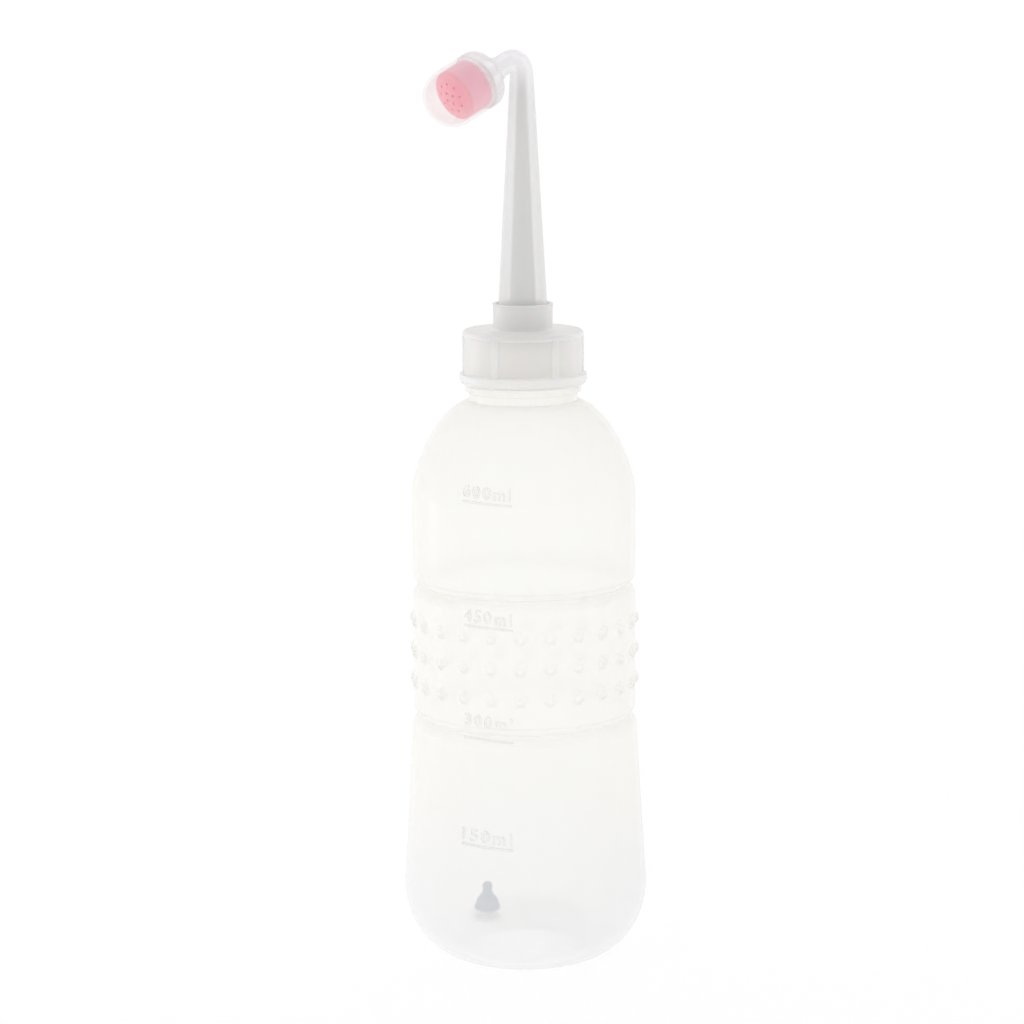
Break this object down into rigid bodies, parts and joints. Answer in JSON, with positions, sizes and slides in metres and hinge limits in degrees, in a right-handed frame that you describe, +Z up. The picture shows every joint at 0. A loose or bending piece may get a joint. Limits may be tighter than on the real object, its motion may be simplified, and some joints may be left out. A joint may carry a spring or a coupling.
{
  "type": "squeeze bottle irrigator",
  "caption": "Translucent graduated squeeze bottle with a screw cap, a bent swivelling nozzle, a perforated spray head under a domed dust cap, and an air valve in the base.",
  "frame": {"origin": "middle of the standing ring under the bottle, on the bottle's axis", "axes": "+Z up the bottle's axis; -Y is the side that carries the graduation numbers; the nozzle's arm points to -X and -Y"},
  "size_m": [0.0788, 0.0788, 0.2925],
  "materials": {
    "frosted_polyethylene": "translucent milky polyethylene, glossy above the lower groove and frosted below it",
    "natural_polypropylene": "translucent white, satin",
    "cap_polypropylene": "translucent white, satin",
    "clear_polypropylene": "clear with a slight haze, polished",
    "pink_plastic": "soft pink, satin",
    "white_silicone": "matt translucent white silicone",
    "grey_silicone": "matt grey silicone"
  },
  "bodies": {
    "bottle": {"bottle": "frosted_polyethylene", "valve_plug": "natural_polypropylene", "valve_duckbill": "grey_silicone"},
    "gasket": {"cap_gasket": "white_silicone"},
    "cap": {"cap": "cap_polypropylene"},
    "nozzle": {"nozzle": "natural_polypropylene", "nozzle_seal": "white_silicone"},
    "spray_head": {"spray_head": "pink_plastic"},
    "dust_cap": {"dust_cap": "clear_polypropylene"}
  },
  "joints": [
    {"name": "cap_lift", "type": "slide", "parent": "bottle", "child": "gasket", "axis": [0, 0, 1], "range_m": [0, 0.016]},
    {"name": "cap_turn", "type": "hinge", "parent": "gasket", "child": "cap", "pos_m": [0, 0, 0.195], "axis": [0, 0, 1], "range_deg": [0, 1440]},
    {"name": "nozzle_swivel", "type": "hinge", "parent": "cap", "child": "nozzle", "pos_m": [0, 0, 0.208], "axis": [0, 0, 1], "continuous": true},
    {"name": "head_pull", "type": "slide", "parent": "nozzle", "child": "spray_head", "axis": [-0.7093, -0.5642, -0.4226], "range_m": [0, 0.01]},
    {"name": "dust_cap_pull", "type": "slide", "parent": "spray_head", "child": "dust_cap", "axis": [-0.7093, -0.5642, -0.4226], "range_m": [0, 0.025]}
  ],
  "couplings": [
    {"joint": "cap_lift", "follows": "cap_turn", "m_per_rad": 0.00063662}
  ]
}
